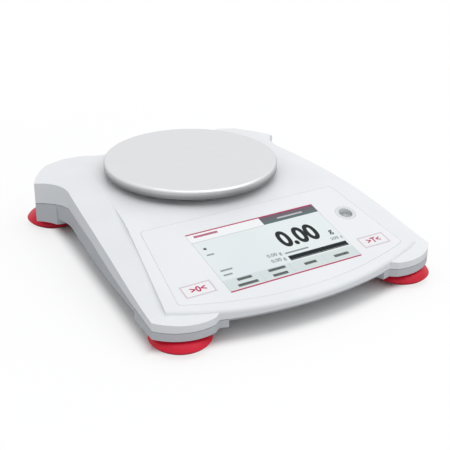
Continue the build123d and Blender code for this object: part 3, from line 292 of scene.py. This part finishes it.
def screen_image():
    """Lit screen under touch glass: header, tab, reading bar, rows of strokes and two red rules."""
    finish = Finish("screen_under_glass", IOR=1.5, Specular_IOR_Level=0.1)
    u, v = finish.axes(finish.moved(PANEL, (TILT, 0, 0), (0.001, 0.001, 0.001)))[:2]
    cloud = finish.noise(finish.place(), 12.0, 2.0, 0.5)
    dots = finish.noise(finish.place(), 3000.0, 1.0, 0.5)
    base = finish.blend(finish.ramp(cloud, 0.35, 0.65), (0.74, 0.80, 0.81), (0.78, 0.83, 0.835))
    base = finish.blend(finish.ramp(v, -17.5, -19.0), base, (0.66, 0.72, 0.715))
    base = finish.blend(rectangle(u, v, -47.8, 5.6, 20.0, 27.7), base, (0.87, 0.885, 0.89))
    base = finish.blend(rectangle(u, v, -47.8, 5.6, 19.7, 20.1), base, (0.52, 0.55, 0.55))
    header = rectangle(u, v, 5.6, 48.0, 20.2, 27.7)
    base = finish.blend(header, base, finish.blend(finish.ramp(v, 22.5, 25.5), (0.125, 0.165, 0.165),
                                                   (0.16, 0.12, 0.15)))
    base = finish.blend(rectangle(u, v, 2.3, 46.7, -16.6, -12.2), base, (0.012, 0.018, 0.02))
    thin = [rectangle(u, v, 3.1, 45.9, -16.0, -15.8), rectangle(u, v, -47.8, 47.8, -18.1, -17.95)]
    thin += [rectangle(u, v, x - 0.08, x + 0.08, -27.8, -18.2) for x in (-22.5, -1.0, 23.5)]
    base = finish.blend(any_of(thin), base, (0.50, 0.56, 0.56))
    dark_rows = ((-38.8, -28.6, -21.0, -18.7), (-40.8, -27.0, -25.9, -23.6), (-16.6, -4.4, -21.0, -18.7),
                 (-16.1, -5.5, -25.9, -23.6), (8.2, 17.1, -23.5, -21.2), (30.4, 41.4, -24.1, -21.8))
    base = finish.blend(any_of([stroke_row(u, v, *row) for row in dark_rows]), base, (0.025, 0.03, 0.032))
    faint_rows = ((-44.2, -36.0, -10.1, -8.7), (-44.4, -38.4, -14.3, -12.9), (2.2, 19.8, -10.1, -8.7),
                  (-44.6, -39.6, 5.9, 7.2))
    base = finish.blend(any_of([stroke_row(u, v, *row) for row in faint_rows]), base, (0.20, 0.23, 0.23))
    base = finish.blend(rectangle(u, v, -43.6, -41.6, 11.6, 13.4), base, (0.07, 0.08, 0.08))
    base = finish.blend(stroke_row(u, v, 17.5, 37.0, 22.8, 24.2), base, (0.55, 0.58, 0.58))
    base = finish.blend(stroke_row(u, v, -43.6, -26.6, 24.0, 26.0), base, (0.42, 0.03, 0.12))
    rules = (abs(v) > 27.6) * (abs(v) < 28.5)
    base = finish.blend(rules, base, (0.50, 0.02, 0.10))
    finish.bump(dots, 0.05, 0.00001)
    return finish.wear(Base_Color=base, Roughness=0.16 + 0.05 * (cloud - 0.5))


def stroke_row(u, v, left, right, low, high):
    """A row of short upright strokes between two edges."""
    strokes = (u * STROKES_PER_MM - left).fraction() < STROKE_SHARE
    return rectangle(u, v, left, right, low, high) * strokes


def key_cap(name, side):
    """Key cap with a printed frame just inside its edge."""
    finish = Finish(name, IOR=1.5, Coat_Weight=0.15, Coat_Roughness=0.2)
    u, v = finish.axes(finish.moved(PANEL, (TILT, 0, 0), (0.001, 0.001, 0.001)))[:2]
    fine = finish.noise(finish.place(), 3200.0, 2.0, 0.6)
    cloud = finish.noise(finish.place(), 60.0, 2.0, 0.5)
    centre, level = side * KEY_X * 1000, KEY_S * 1000
    across, along = KEY_FRAME_HALF
    inside = (abs(u - centre) < across - KEY_FRAME_LINE) * (abs(v - level) < along - KEY_FRAME_LINE)
    frame_line = (1.0 - inside) * (abs(u - centre) < across) * (abs(v - level) < along)
    white = finish.blend(finish.ramp(cloud, 0.3, 0.7), (0.81, 0.805, 0.825), (0.85, 0.845, 0.86))
    finish.bump(fine, 0.2, 0.00001)
    return finish.wear(Base_Color=finish.blend(frame_line * 0.85, white, (0.50, 0.33, 0.38)),
                       Roughness=0.33 + 0.08 * (fine - 0.5))


def brushed_steel(name, shade, centre, scale, roughness, strength):
    """Stainless steel with long fine brushing lines and faint smudges, and painted shade that darkens the
    colour down the drawn skirt.
    """
    finish = Finish(name, Metallic=1.0)
    lines = finish.noise(finish.moved(centre, (0, 0, math.radians(14)), scale), 1.0, 4.0, 0.65)
    smudge = finish.noise(finish.place(), 24.0, 3.0, 0.55)
    finish.bump(lines, strength, 0.00002)
    dark = [c * 0.975 for c in shade]
    light = [min(1.0, c * 1.02) for c in shade]
    height = finish.axes(finish.place())[2]
    # Painted shade: the base colour darkens from just under the rim to the foot of the skirt
    skirt = finish.ramp(height, PAN_TOP_Z - SKIRT_PAINTED_SHADE_START, PAN_TOP_Z - SKIRT_PAINTED_SHADE_END)
    top = finish.blend(finish.ramp(lines, 0.3, 0.7), dark, light)
    return finish.wear(Base_Color=finish.blend(skirt, top, [c * SKIRT_PAINTED_SHADE_SHARE for c in shade]),
                       Roughness=roughness + 0.08 * (lines - 0.5) + 0.06 * (smudge - 0.5))


def turned_metal(name, shade, roughness=0.32, scratch=900.0):
    """Plated or milled metal with fine tool marks and slight tarnish."""
    finish = Finish(name, Metallic=1.0)
    marks = finish.noise(finish.moved(scale=(0.3, 0.3, 1.0)), scratch, 3.0, 0.6)
    tarnish = finish.noise(finish.place(), 130.0, 3.0, 0.6)
    finish.bump(marks, 0.2, 0.00002)
    dark = [c * 0.86 for c in shade]
    return finish.wear(Base_Color=finish.blend(finish.ramp(tarnish, 0.35, 0.75), shade, dark),
                       Roughness=roughness + 0.15 * (marks - 0.5) + 0.12 * (tarnish - 0.5))


def red_wheel_plastic():
    """Satin red moulded plastic, with faint flow clouds in its fine grain."""
    finish = Finish("red_wheel_plastic", IOR=1.5, Specular_IOR_Level=0.25)
    place = finish.place()
    cloud = finish.noise(place, 60.0, 3.0, 0.5)
    fine = finish.noise(place, 1800.0, 2.0, 0.6)
    finish.bump(fine, 0.12, 0.00002)
    return finish.wear(Base_Color=finish.blend(finish.ramp(cloud, 0.3, 0.7), (0.62, 0.008, 0.030),
                                               (0.70, 0.012, 0.040)),
                       Roughness=0.34 + 0.08 * (cloud - 0.5) + 0.05 * (fine - 0.5))


def black_rubber():
    """Dull rubber with fine pores and a dusty bloom."""
    finish = Finish("black_rubber", IOR=1.5)
    place = finish.place()
    pores = finish.noise(place, 1500.0, 3.0, 0.7)
    dust = finish.noise(place, 90.0, 4.0, 0.6)
    finish.bump(pores, 0.5, 0.00005)
    return finish.wear(Base_Color=finish.blend(finish.ramp(dust, 0.45, 0.8), (0.022, 0.022, 0.024),
                                               (0.075, 0.073, 0.07)),
                       Roughness=0.78 + 0.12 * (pores - 0.5))


def circuit_board():
    """Green solder mask over copper tracks, with rows of pads."""
    finish = Finish("circuit_board", IOR=1.5, Coat_Weight=0.2, Coat_Roughness=0.2)
    across = finish.axes(finish.moved(scale=(0.00127, 0.00127, 0.00127)))[0].fraction()
    lanes = finish.noise(finish.moved(scale=(0.02, 0.0025, 0.01)), 1.0, 3.0, 0.6)
    tracks = finish.ramp(lanes, 0.49, 0.51) * (across > 0.28)
    speckle = finish.noise(finish.place(), 420.0, 1.0, 0.4)
    pads = speckle > 0.66
    base = finish.blend(tracks, (0.012, 0.11, 0.045), (0.022, 0.19, 0.075))
    base = finish.blend(pads, base, (0.62, 0.60, 0.52))
    finish.bump(tracks, 0.3, 0.00004)
    return finish.wear(Base_Color=base, Roughness=0.36 - 0.1 * pads, Metallic=0.9 * pads)


def battery_jacket():
    """Plain dark printed jacket with bare metal at both ends of each cell."""
    finish = Finish("battery_jacket", IOR=1.5)
    along = abs(abs(finish.axes(finish.moved(scale=(0.001, 0.001, 0.001)))[0]) - 27.9)
    bare = along > 24.2
    band = (along > 19.0) * (along < 24.2)
    scuffs = finish.noise(finish.moved(scale=(0.004, 0.02, 0.02)), 9.0, 3.0, 0.6)
    base = finish.blend(finish.ramp(scuffs, 0.4, 0.8), (0.030, 0.033, 0.040), (0.075, 0.080, 0.090))
    base = finish.blend(band, base, (0.50, 0.34, 0.12))
    base = finish.blend(bare, base, (0.66, 0.66, 0.66))
    return finish.wear(Base_Color=base, Metallic=bare | band * 0.6, Roughness=0.34 + 0.1 * (scuffs - 0.5))


def level_face():
    """Level seen from above: grey liquid darker towards its edge, a thin dark ring, and the bubble inside
    it drawn as a painted highlight with a painted shaded edge.
    """
    finish = Finish("level_liquid", IOR=1.49, Coat_Weight=0.3, Coat_Roughness=0.08)
    u, v = finish.axes(finish.moved(LEVEL, scale=(0.001, 0.001, 0.001)))[:2]
    across = (u * u + v * v).root()
    bubble = ((u + 0.25) * (u + 0.25) + (v - 0.2) * (v - 0.2)).root()
    tint = finish.noise(finish.place(), 300.0, 2.0, 0.5)
    base = finish.blend(finish.ramp(across, 2.0, 4.4), (0.40, 0.425, 0.43), (0.27, 0.29, 0.30))
    base = finish.blend((across > 2.05) * (across < 2.3), base, (0.16, 0.17, 0.18))
    # Bubble drawn in colour: a pale disc as painted highlight and a darker edge as painted shade
    base = finish.blend(bubble < 1.35, base, (0.47, 0.50, 0.50))
    base = finish.blend((bubble > 1.15) * (bubble < 1.4), base, (0.25, 0.27, 0.28))
    return finish.wear(Base_Color=base, Roughness=0.12 + 0.06 * (tint - 0.5))


def ink(name, shade):
    """Printed ink with slightly uneven cover."""
    finish = Finish(name, IOR=1.45, Specular_IOR_Level=0.2)
    cover = finish.noise(finish.place(), 1400.0, 2.0, 0.6)
    light = [min(1.0, c * 1.25 + 0.01) for c in shade]
    return finish.wear(Base_Color=finish.blend(finish.ramp(cover, 0.4, 0.8), shade, light),
                       Roughness=0.42 + 0.1 * (cover - 0.5))


finishes = {
    "housing_white": moulded_plastic("housing_white", (0.80, 0.815, 0.835)),
    # Lower shell: the housing white made greyer, partly a darker plastic and partly painted shade of its
    # shaded lower band
    "lower_shell": moulded_plastic("lower_shell_grey_painted_shade", (0.53, 0.545, 0.57), 0.4, 0.5, 0.0),
    "housing_grey": moulded_plastic("housing_grey", (0.70, 0.715, 0.73), 0.3, 0.38),
    "overlay": printed_overlay(),
    "glass": screen_image(),
    "screen": moulded_plastic("display_glass_back", (0.36, 0.40, 0.39), 0.1, 0.2, 0.4),
    "steel": brushed_steel("brushed_pan", (0.74, 0.74, 0.745), (0, PAN_Y, 0),
                           (0.03, 0.0003, 0.002), 0.38, 0.06),
    "zinc_steel": turned_metal("zinc_steel", (0.60, 0.61, 0.635)),
    "aluminium": turned_metal("milled_aluminium", (0.74, 0.75, 0.765), 0.36, 600.0),
    "black_plastic": moulded_plastic("black_plastic", (0.022, 0.022, 0.024), 0.4, 0.45),
    "dark_grey_plastic": moulded_plastic("dark_grey_plastic", (0.075, 0.078, 0.083), 0.4, 0.5),
    "rubber": black_rubber(),
    "red_plastic": red_wheel_plastic(),
    "board": circuit_board(),
    "brass": turned_metal("turned_brass", (0.70, 0.50, 0.20), 0.3),
    "battery": battery_jacket(),
    "vial": level_face(),
    "black_ink": ink("black_ink", (0.006, 0.009, 0.010)),
    "grey_ink": ink("grey_ink", (0.16, 0.185, 0.19)),
    "red_ink": ink("red_ink", (0.45, 0.02, 0.09)),
}
# The bottom housing and battery cover take the greyer lower-shell finish, which is partly painted shade
own_finishes = {"zero_key": key_cap("zero_key_cap", -1), "tare_key": key_cap("tare_key_cap", 1),
                "bottom_housing": finishes["lower_shell"], "battery_cover": finishes["lower_shell"]}

slot_of = {row["node"]: row["material_slot"] for row in frame["record"]["subparts"]}


def dress(piece, material):
    piece.data.materials.clear()
    piece.data.materials.append(material)


for node, piece in nodes.items():
    dress(piece, own_finishes.get(node) or finishes[slot_of[node]])


# Modelling helpers

def clear_selection():
    """Everything is deselected before a new primitive comes."""
    if bpy.context.object and bpy.context.object.mode != "OBJECT":
        bpy.ops.object.mode_set(mode="OBJECT")
    bpy.ops.object.select_all(action="DESELECT")


def alone(piece):
    clear_selection()
    piece.select_set(True)
    bpy.context.view_layer.objects.active = piece
    return piece


def settle(piece, place=None):
    """Puts a piece's place into its mesh."""
    if place is not None:
        piece.matrix_world = place
    alone(piece)
    bpy.ops.object.transform_apply(location=True, rotation=True, scale=True)
    return piece


def use(piece, kind, **settings):
    """Adds a modifier and applies it."""
    alone(piece)
    modifier = piece.modifiers.new(kind.title(), kind)
    for label, value in settings.items():
        setattr(modifier, label, value)
    bpy.ops.object.modifier_apply(modifier=modifier.name)
    return piece


def keep(piece, name, slot_name, body, material=None, smooth=35):
    """Names, dresses and seats a finished piece."""
    piece.name = name
    piece.data.name = name
    dress(piece, material or finishes[slot_name])
    alone(piece)
    bpy.ops.object.shade_smooth_by_angle(angle=math.radians(smooth))
    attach(piece, body)
    return piece


def joined(pieces):
    clear_selection()
    for piece in pieces:
        piece.select_set(True)
    bpy.context.view_layer.objects.active = pieces[0]
    bpy.ops.object.join()
    return pieces[0]


def select_faces(piece, test):
    """Selects the faces whose centre and normal pass a test, in edit mode."""
    alone(piece)
    bpy.ops.object.mode_set(mode="EDIT")
    bpy.ops.mesh.select_mode(type="FACE")
    bpy.ops.mesh.select_all(action="DESELECT")
    bpy.ops.object.mode_set(mode="OBJECT")
    for face in piece.data.polygons:
        face.select = test(face.center, face.normal)
    bpy.ops.object.mode_set(mode="EDIT")


def spun(points, steps, centre):
    """Turned piece from a profile of radius and height pairs that starts and ends on the axis."""
    clear_selection()
    bpy.ops.mesh.primitive_plane_add(size=0.001, location=(0, 0, 0))
    piece = bpy.context.object
    piece.data.clear_geometry()
    vertices = [(r, 0, z) for r, z in points]
    piece.data.from_pydata(vertices, [(i, i + 1) for i in range(len(vertices) - 1)], [])
    alone(piece)
    bpy.ops.object.mode_set(mode="EDIT")
    bpy.ops.mesh.select_all(action="SELECT")
    bpy.ops.mesh.spin(steps=steps, angle=2 * math.pi, center=(0, 0, 0), axis=(0, 0, 1))
    bpy.ops.mesh.select_all(action="SELECT")
    bpy.ops.mesh.remove_doubles(threshold=0.000001)
    bpy.ops.mesh.normals_make_consistent(inside=False)
    bpy.ops.object.mode_set(mode="OBJECT")
    return settle(piece, Matrix.Translation(centre))


# Generic print on the panel: numbers and symbols, a little raised like thick ink

def panel_mark(name, text, x, s, size, width, weight, ink_name, body):
    """One short mark in the plane of the panel, set by its lower left corner."""
    clear_selection()
    bpy.ops.object.text_add(location=(0, 0, 0))
    mark = bpy.context.object
    mark.data.body = text
    mark.data.size = size
    mark.data.offset = weight
    mark.data.extrude = PRINT_THICKNESS
    mark.data.resolution_u = 6
    bpy.ops.object.convert(target="MESH")
    mark = bpy.context.object
    left = min(v.co.x for v in mark.data.vertices)
    right = max(v.co.x for v in mark.data.vertices)
    low = min(v.co.y for v in mark.data.vertices)
    stretch = width / (right - left)
    place = panel_place @ Matrix.Translation((x, s, PRINT_HEIGHT)) @ Matrix.Diagonal((stretch, 1, 1, 1)) \
        @ Matrix.Translation((-left, -low, 0))
    settle(mark, place)
    return keep(mark, name, "screen" if body == "housing" else "key", body, finishes[ink_name])


panel_mark("reading_digits", "0.00", 0.0055, -0.0046, 0.0207, 0.0293, 0.00075, "black_ink", "housing")
panel_mark("reading_unit", "g", 0.0412, -0.0040, 0.0062, 0.0030, 0.00010, "black_ink", "housing")
panel_mark("gross_value", "0.00 g", -0.0100, -0.0101, 0.0040, 0.0102, 0.00004, "grey_ink", "housing")
panel_mark("tare_value", "0.00 g", -0.0100, -0.0153, 0.0040, 0.0102, 0.00004, "grey_ink", "housing")
panel_mark("capacity_value", "200 g", 0.0384, -0.0098, 0.0036, 0.0090, 0.00003, "grey_ink", "housing")
panel_mark("zero_key_mark", ">0<", -0.0697, -0.0207, 0.0064, 0.0104, 0.00018, "red_ink", "zero_key")
panel_mark("tare_key_mark", ">T<", 0.0597, -0.0207, 0.0064, 0.0104, 0.00018, "red_ink", "tare_key")


# Circular level: domed window over the liquid

LEVEL_WINDOW_RADIUS = 0.00458
level_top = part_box("level_vial")[1].z
level_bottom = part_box("level_vial")[0].z
dome = [(0, level_top), (0.0012, level_top - 0.00001), (0.0025, level_top - 0.00006),
        (0.0036, level_top - 0.00016), (0.0042, level_top - 0.00028),
        (LEVEL_WINDOW_RADIUS, level_top - 0.00055), (LEVEL_WINDOW_RADIUS, level_bottom), (0, level_bottom)]
lens = spun(dome, 64, (LEVEL.x, LEVEL.y, 0))
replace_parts(keep(lens, "level_window", "vial", "housing"), "level_vial")


# Levelling feet: a wheel domed above and below its rim, and a pad with a bevelled edge in its recess

def arc(start, end, bulge, steps):
    """Points from start to end, bent outward by a bulge at the middle."""
    (x0, z0), (x1, z1) = start, end
    length = math.hypot(x1 - x0, z1 - z0)
    points = []
    for i in range(1, steps + 1):
        share = i / steps
        out = 4 * bulge * share * (1 - share)
        points.append((x0 + (x1 - x0) * share + out * (z1 - z0) / length,
                       z0 + (z1 - z0) * share - out * (x1 - x0) / length))
    return points


wheel_profile = [(0, PIN_BORE[1]), PIN_BORE, (PIN_BORE[0], PAD_RECESS[1]), PAD_RECESS,
                 (PAD_RECESS[0], WHEEL_FOOT[1]), WHEEL_FOOT]
wheel_profile += arc(WHEEL_FOOT, WHEEL_RIM, WHEEL_LOWER_BULGE, 10)
wheel_profile += arc(WHEEL_RIM, WHEEL_CROWN, WHEEL_UPPER_BULGE, 14) + [(0, WHEEL_TOP_Z)]
pad_profile = [(0, 0), (PAD_RADIUS - 0.0012, 0), (PAD_RADIUS - 0.0005, 0.0003), (PAD_RADIUS, 0.0012),
               (PAD_RADIUS, PAD_TOP_Z), (PAD_PIN[0], PAD_TOP_Z), PAD_PIN, (0, PAD_PIN[1])]
for side, foot in FEET.items():
    wheel = spun(wheel_profile, 96, (foot.x, foot.y, 0))
    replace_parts(keep(wheel, "domed_wheel_" + side, "red_plastic", "wheel_" + side), "foot_wheel_" + side)
    pad = spun(pad_profile, 64, (foot.x, foot.y, 0))
    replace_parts(keep(pad, "bevelled_pad_" + side, "rubber", "pad_" + side), "foot_pad_" + side)


# Screws seen from underneath, each with a cross recess

def cross_screw(radius, height, shank_radius, shank_length):
    """One pan-head screw with its head downward, its seat at height 0."""
    clear_selection()
    bpy.ops.mesh.primitive_cylinder_add(vertices=32, radius=radius, depth=height,
                                        location=(0, 0, -height / 2))
    head = bpy.context.object
    select_faces(head, lambda centre, normal: normal.z < -0.9)
    bpy.ops.mesh.bevel(offset=height * 0.35, segments=3, affect="EDGES")
    bpy.ops.object.mode_set(mode="OBJECT")
    for turn in (0, math.pi / 2):
        clear_selection()
        bpy.ops.mesh.primitive_cube_add(size=1, location=(0, 0, -height * 0.95), rotation=(0, 0, turn))
        cutter = bpy.context.object
        cutter.scale = (radius * 1.15, radius * 0.26, height * 1.1)
        settle(cutter)
        use(head, "BOOLEAN", object=cutter, operation="DIFFERENCE")
        bpy.data.objects.remove(cutter)
    clear_selection()
    bpy.ops.mesh.primitive_cylinder_add(vertices=24, radius=shank_radius, depth=shank_length,
                                        location=(0, 0, shank_length / 2))
    shank = bpy.context.object
    select_faces(shank, lambda centre, normal: normal.z > 0.9)
    bpy.ops.mesh.inset(thickness=shank_radius * 0.35)
    bpy.ops.transform.translate(value=(0, 0, shank_radius * 0.35))
    bpy.ops.object.mode_set(mode="OBJECT")
    return joined([head, shank])


def copies(master, places):
    """Copies of one master, each with its own mesh, as one piece."""
    made = []
    for place in places:
        twin = master.copy()
        twin.data = master.data.copy()
        bpy.context.scene.collection.objects.link(twin)
        settle(twin, place)
        made.append(twin)
    bpy.data.objects.remove(master)
    return joined(made)


screw_master = cross_screw(SCREW_HEAD_RADIUS, 0.0012, SCREW_SHANK_RADIUS, 0.0090)
screw_spots = [(x * side, y) for x, y in HOUSING_SCREWS for side in (-1, 1)]
screws = copies(screw_master, [Matrix.Translation((x, y, HOUSING_SEAT_Z)) @ Matrix.Rotation(i * 0.7, 4, "Z")
                               for i, (x, y) in enumerate(screw_spots)])
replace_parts(keep(screws, "cross_housing_screws", "zinc_steel", "housing"), "housing_screws")

base_master = cross_screw(SCREW_HEAD_RADIUS, 0.0014, SCREW_SHANK_RADIUS, 0.0026)
base_spots = [(x, PAN_Y + y) for x in (-BASE_SCREW_X, BASE_SCREW_X) for y in (-BASE_SCREW_Y, BASE_SCREW_Y)]
base_screws = copies(base_master, [Matrix.Translation((x, y, BASE_SEAT_Z))
                                   @ Matrix.Rotation(0.4 + i * 0.9, 4, "Z")
                                   for i, (x, y) in enumerate(base_spots)])
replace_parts(keep(base_screws, "cross_base_screws", "zinc_steel", "housing"), "base_screws")


# Studio

def studio():
    """Pale floor that glows white for the camera away from the housing's footprint, painted light that
    lightens its cast shadow there; a soft room and two lamps.
    """
    clear_selection()
    bpy.ops.mesh.primitive_plane_add(size=14, location=(0, 0, 0))
    floor = bpy.context.object
    floor.name = "floor"
    paint = Finish("floor_paint", Roughness=0.9)
    path = paint.tree.nodes.new("ShaderNodeLightPath")
    seen = Wire(paint.tree, path.outputs["Is Camera Ray"])
    paint.wear(Base_Color=paint.blend(seen, (0.50, 0.51, 0.52), (0.98, 0.98, 0.98)))
    paint.shader.inputs["Specular IOR Level"].default_value = 0.0
    x, y = paint.axes(paint.place())[:2]
    beside = abs(x) - (FOOTPRINT_HALF_WIDTH - FOOTPRINT_TAPER * y)
    ahead = (x * x * FOOTPRINT_BOW - FOOTPRINT_FRONT) - y
    behind = y - FOOTPRINT_REAR
    # Painted light: away from the footprint, and more with distance, the floor glows white for the camera
    # and lightens the cast shadow there
    glow_outside_footprint = paint.ramp(beside | ahead | behind, -0.004, 0.007)
    glow_far_out = paint.ramp((x * x + y * y).root(), 0.16, 0.5, 0.75, 1.0)
    glow = paint.node("Emission", Color=(1.0, 1.0, 1.0, 1.0), Strength=1.0)
    mixed = paint.node("MixShader", Fac=seen * glow_outside_footprint * glow_far_out)
    paint.tree.links.new(paint.shader.outputs[0], mixed.socket.node.inputs[1])
    paint.tree.links.new(glow.socket, mixed.socket.node.inputs[2])
    paint.tree.links.new(mixed.socket, paint.tree.nodes["Material Output"].inputs["Surface"])
    dress(floor, paint.material)

    world = bpy.data.worlds.new("soft_room")
    bpy.context.scene.world = world
    world.use_nodes = True
    tree = world.node_tree
    back = tree.nodes["Background"]
    path = tree.nodes.new("ShaderNodeLightPath")
    seen = Wire(tree, path.outputs["Is Camera Ray"]) | Wire(tree, path.outputs["Is Glossy Ray"])
    back.inputs["Color"].default_value = (0.985, 0.99, 1.0, 1.0)
    feed(tree, seen * (1 - ROOM_LIGHT) + ROOM_LIGHT, back.inputs["Strength"])

    lamp("overhead", (0.35, -0.30, 1.6), (0, 0, 0), 1.9, 9.5)
    lamp("front_fill", (0.9, -1.4, 0.8), (0, 0, 0.03), 1.2, 1.6)


def lamp(name, spot, target, size, power):
    """Square lamp turned to a target."""
    data = bpy.data.lights.new(name, "AREA")
    data.size = size
    data.energy = power
    light = bpy.data.objects.new(name, data)
    bpy.context.scene.collection.objects.link(light)
    light.location = spot
    light.rotation_mode = "QUATERNION"
    light.rotation_quaternion = (Vector(target) - Vector(spot)).to_track_quat("-Z", "Y")


def camera():
    """Camera at the photograph's viewing angle."""
    data = bpy.data.cameras.new("photo_view")
    view = bpy.data.objects.new("photo_view", data)
    bpy.context.scene.collection.objects.link(view)
    data.lens = CAMERA_LENS
    data.sensor_width = CAMERA_SENSOR
    data.clip_start = 0.05
    data.clip_end = 60
    heading = Matrix.Rotation(CAMERA_AZIMUTH, 4, "Z")
    tilt = Matrix.Rotation(math.pi / 2 - CAMERA_ELEVATION, 4, "X")
    roll = Matrix.Rotation(CAMERA_ROLL, 4, "Z")
    view.matrix_world = Matrix.Translation(CAMERA_PLACE) @ heading @ tilt @ roll
    bpy.context.scene.camera = view


studio()
camera()

scene = bpy.context.scene
scene.view_settings.view_transform = "Standard"
